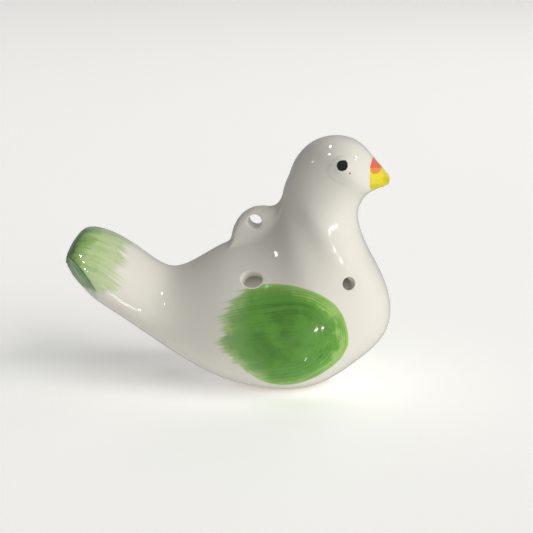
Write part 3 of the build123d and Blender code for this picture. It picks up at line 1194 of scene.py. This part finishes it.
def strokes(tree, fray, rim, dark, middle, light):
    # Brushed paint that follows the mesh's own brush, edge and load values
    values = {"Fray": fray, "Rim": rim, "Dark": finish[dark], "Middle": finish[middle],
              "Light": finish[light], "Glaze": finish["white"]}
    for label in ("Brush", "Edge", "Load"):
        values[label] = attributeNode(tree, label.lower())
    return addNode(tree, "ShaderNodeGroup", values, node_tree=brushed).outputs["Colour"]


def bodyPaint(tree):
    return footTint(tree, strokes(tree, 12.0, 4.0, "greenDark", "green", "greenLight"))


def tailStrokes(tree):
    return strokes(tree, 11.0, 3.0, "tailDark", "tailGreen", "tailLight")


# Borders of the beak's colours, in metres: the factor of the first direction added to the second,
# the level where the colour starts and the level where it is full
beakBorders = {
    "red": (0.30, 0.08295, 0.08312),            # x added to z
    "over": (-0.33, 0.02028, 0.02018),          # z added to x
    "under": (0.25, 0.05958, 0.05948),          # z added to x
    "orange": {"X": 0.0452, "Z": 0.0695},       # its middle
    "orangeEdge": (0.00215, 0.00185),
    "wander": 0.0006,
}


def beakPaint(tree):
    # Yellow, deeper in clouds, with a red patch over its root, orange where the two meet, and
    # white where the face's glaze laps over its corners
    place = objectPlace(tree)
    x, _, z = splitVector(tree, place)
    cloud = noiseNode(tree, place, 320.0, 2.0)
    deep = rampNode(tree, cloud, 0.40, 0.75)
    yellow = mixColour(tree, deep, finish["yellow"], finish["yellowDeep"])
    wander = times(tree, cloud, beakBorders["wander"])
    factor, *edge = beakBorders["red"]
    red = rampNode(tree, plus(tree, scaled(tree, x, factor, z), wander), *edge)
    middle = addNode(tree, "ShaderNodeCombineXYZ", beakBorders["orange"]).outputs[0]
    flat = addNode(tree, "ShaderNodeCombineXYZ", {"X": x, "Z": z}).outputs[0]
    far = plus(tree, distanceNode(tree, flat, middle), wander)
    orange = rampNode(tree, far, *beakBorders["orangeEdge"])
    shade = mixColour(tree, orange, yellow, finish["orange"])
    shade = mixColour(tree, red, shade, finish["red"])
    corners = []
    for name in ("over", "under"):
        factor, *edge = beakBorders[name]
        corners.append(rampNode(tree, scaled(tree, z, factor, x), *edge))
    return mixColour(tree, mathNode(tree, "MAXIMUM", *corners), shade, finish["white"])


def eyePaint(tree):
    # A black pupil with an uneven edge, and one fleck beside it
    place = attributeNode(tree, "eyeMap")
    jitter = noiseNode(tree, place, 0.9, 2.0, 0.6)
    far = plus(tree, distanceNode(tree, place, eye["pupil"]), jitter)
    pupil = rampNode(tree, far, *eye["pupilEdge"])
    dot = rampNode(tree, distanceNode(tree, place, eye["fleck"]), *eye["fleckEdge"])
    shade = mixColour(tree, dot, finish["white"], finish["fleck"])
    return mixColour(tree, pupil, shade, finish["black"])


def bisqueMaterial():
    # Unglazed clay inside the hollow, with painted light: the clay glows, most low down, though no
    # lamp is there.
    material, tree, shader = newMaterial("bisqueInside")
    place = objectPlace(tree)
    grain = noiseNode(tree, place, 900.0, 4.0, 0.6)
    cloud = noiseNode(tree, place, 90.0, 3.0)
    clay = mixColour(tree, cloud, finish["bisque"], finish["bisqueDark"])
    tree.links.new(clay, shader["Base Color"])
    tree.links.new(rangeNode(tree, grain, 0.75, 0.95), shader["Roughness"])
    bump = addNode(tree, "ShaderNodeBump", {"Height": grain, "Strength": 0.4, "Distance": 0.0002})
    tree.links.new(bump.outputs[0], shader["Normal"])
    # Painted light: the glow is full below 24 mm and gone above 29 mm
    paintedGlow = rangeNode(tree, splitVector(tree, place)[2], 0.26, 0.0, 0.0240, 0.0290)
    shader["Emission Color"].default_value = finish["paintedInsideGlow"]
    tree.links.new(paintedGlow, shader["Emission Strength"])
    return material


whiteMaterial = glazedMaterial("whiteGlaze")
bisque = bisqueMaterial()
bodyMaterial = glazedMaterial("bodyGlaze", bodyPaint)
tailMaterial = glazedMaterial("tailGlaze", tailStrokes)
beakMaterial = glazedMaterial("beakGlaze", beakPaint, specks=0.0)
eyeMaterial = glazedMaterial("eyeGlaze", eyePaint, specks=0.0, clouds=0.2)
print("materials made")


def placePiece(shape, material, slotName, *replaced):
    shape.data.materials.append(material)
    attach(shape, "root")
    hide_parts(*replaced)


bodyShape = buildPiece("glazed_body", makeBody(), wingMaps)
placePiece(bodyShape, bodyMaterial, "white_glaze", "right_shell", "left_shell", "cord_lug")
bodyShape.data.materials.append(bisque)
tailShape = buildPiece("glazed_tail", makeTail(), tailMaps)
placePiece(tailShape, tailMaterial, "green_tail_glaze", "tail_mouthpiece", "windway_floor")
beakShape = buildPiece("glazed_beak", makeBeak())
placePiece(beakShape, beakMaterial, "yellow_glaze", "beak")
for side, name in ((-1, "right_eye"), (1, "left_eye")):
    relief = makeEye(side)
    eyeShape = buildPiece("glazed_" + name, relief, lambda points, outer: {"eyeMap": relief["map"]})
    placePiece(eyeShape, eyeMaterial, "white_glaze", name)
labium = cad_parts["labium"]
labium.data.materials.clear()
labium.data.materials.append(whiteMaterial)
print("pieces built")

stage = {
    "floor": colour(250, 250, 248),
    "world": 0.34,          # seen in the glaze only
    "floorGlow": 0.29,      # the paper is lit from below, so that it stays pale
}

# Broad daylight from the right, and weak soft boxes that fill the rest: azimuth, elevation, watts
sun = {"azimuth": 66, "elevation": 33, "strength": 2.35, "spread": 60, "colour": (1.0, 0.985, 0.95)}
softBoxes = {
    "size": 0.55,
    "colour": (1.0, 0.985, 0.955),
    "aim": (0, 0, 0.035),
    "boxes": [(0, 88, 1.3), (30, 10, 0.3), (150, 40, 1.1), (-150, 40, 0.2)],
}
# Sparks on the glaze. Each is a place on the skin (rib, turn) where the camera sees a small lamp
# mirrored, then the lamp's width and height in degrees, its brightness and its beam in degrees.
sparks = [
    # the flank behind the neck, and the neck
    (8.96, 0.50, 4.5, 12.0, 70, 5), (11.09, 0.61, 1.6, 1.6, 90, 8),
    (13.2, 1.11, 3.0, 3.0, 260, 4), (12.9, 1.03, 2.4, 2.4, 260, 4), (13.4, 1.19, 2.4, 2.4, 260, 4),
    # the crown
    (16.94, 0.45, 3.0, 3.0, 200, 8), (16.7, 0.60, 3.0, 3.0, 200, 8),
    # over the wing, on the wing, and on the nape
    (8.43, 0.65, 1.0, 1.0, 60, 8), (9.71, 1.10, 3.2, 2.6, 55, 8), (9.89, 1.13, 2.6, 2.2, 55, 8),
    (9.14, 1.26, 1.6, 1.2, 40, 8), (9.82, 0.05, 1.6, 1.6, 50, 8),
    # the tail's tip, its root and along its lower side
    (1.87, 0.70, 3.6, 4.6, 160, 8), (2.14, 0.76, 3.6, 5.2, 160, 8), (2.32, 0.84, 3.4, 3.4, 160, 8),
    (4.98, 0.57, 3.0, 3.0, 100, 8), (4.91, 0.73, 2.0, 2.0, 80, 8), (4.46, 0.90, 1.4, 3.0, 30, 8),
    (4.16, 0.93, 1.4, 3.0, 30, 8), (3.82, 0.95, 1.4, 3.0, 25, 8),
    # the brow
    (18.25, 0.71, 4.2, 2.4, 110, 8),
]


def aroundTable(azimuth, elevation):
    # A metre from the middle. Azimuth 0 is in front, and 90 on the beak's side.
    turn, lift = math.radians(azimuth), math.radians(elevation)
    return math.sin(turn) * math.cos(lift), -math.cos(turn) * math.cos(lift), math.sin(lift)


def addLamp(kind, place, target, power, mirrored, **settings):
    # mirrored lamps are seen in the glaze and light nothing else, and the others the reverse
    data = bpy.data.lights.new("lamp", kind)
    data.energy = power
    for label, value in settings.items():
        setattr(data, label, value)
    lamp = bpy.data.objects.new("lamp", data)
    lamp.location = place
    lamp.rotation_mode = "QUATERNION"
    lamp.rotation_quaternion = (Vector(target) - lamp.location).to_track_quat("-Z", "Y")
    lamp.visible_glossy = mirrored
    lamp.visible_diffuse = not mirrored
    lamp.visible_transmission = not mirrored
    bpy.context.scene.collection.objects.link(lamp)


def addDaylight():
    place = aroundTable(sun["azimuth"], sun["elevation"])
    addLamp("SUN", place, (0, 0, 0), sun["strength"], False, angle=math.radians(sun["spread"]),
            color=sun["colour"])
    for azimuth, elevation, watts in softBoxes["boxes"]:
        addLamp("AREA", aroundTable(azimuth, elevation), softBoxes["aim"], watts, False,
                shape="SQUARE", size=softBoxes["size"], color=softBoxes["colour"])


def addSpark(rib, turn, wide, high, brightness, beam):
    # A small gridded lamp where the glaze mirrors the camera's view
    u, s = np.array([rib]), np.array([turn])
    point, normal = skin(u, s)[0] * millimetre, skinNormal(u, s)[0]
    seen = unit(np.array(bpy.context.scene.camera.location) - point)
    away = 2 * (normal @ seen) * normal - seen
    reach, spread = 0.3, math.radians(beam)
    width, height = math.radians(wide) * reach, math.radians(high) * reach
    fullBeam = math.pi * math.pi / 4 * width * height
    power = brightness * fullBeam * (1 - spread / 2 / math.tan(spread / 2))
    addLamp("AREA", point + away * reach, point, power, True, shape="ELLIPSE", size=width,
            size_y=height, spread=spread)


def addFloor():
    mesh = bpy.data.meshes.new("floor")
    mesh.from_pydata([(-3, -3, 0), (3, -3, 0), (3, 3, 0), (-3, 3, 0)], [], [(0, 1, 2, 3)])
    floor = bpy.data.objects.new("floor", mesh)
    bpy.context.scene.collection.objects.link(floor)
    material, _, shader = newMaterial("floorPaper")
    shader["Base Color"].default_value = stage["floor"]
    shader["Roughness"].default_value = 0.9
    shader["Emission Color"].default_value = (1, 1, 1, 1)
    shader["Emission Strength"].default_value = stage["floorGlow"]
    mesh.materials.append(material)
    floor.visible_glossy = False


def addWorld():
    world = bpy.data.worlds.new("studio")
    world.use_nodes = True
    background = world.node_tree.nodes["Background"].inputs
    background["Color"].default_value = (0.95, 0.97, 1.0, 1)
    background["Strength"].default_value = stage["world"]
    bpy.context.scene.world = world
    world.cycles_visibility.diffuse = False
    bpy.context.scene.view_settings.view_transform = "Standard"


addFloor()
addWorld()
addDaylight()
for values in sparks:
    addSpark(*values)
print("lights set")
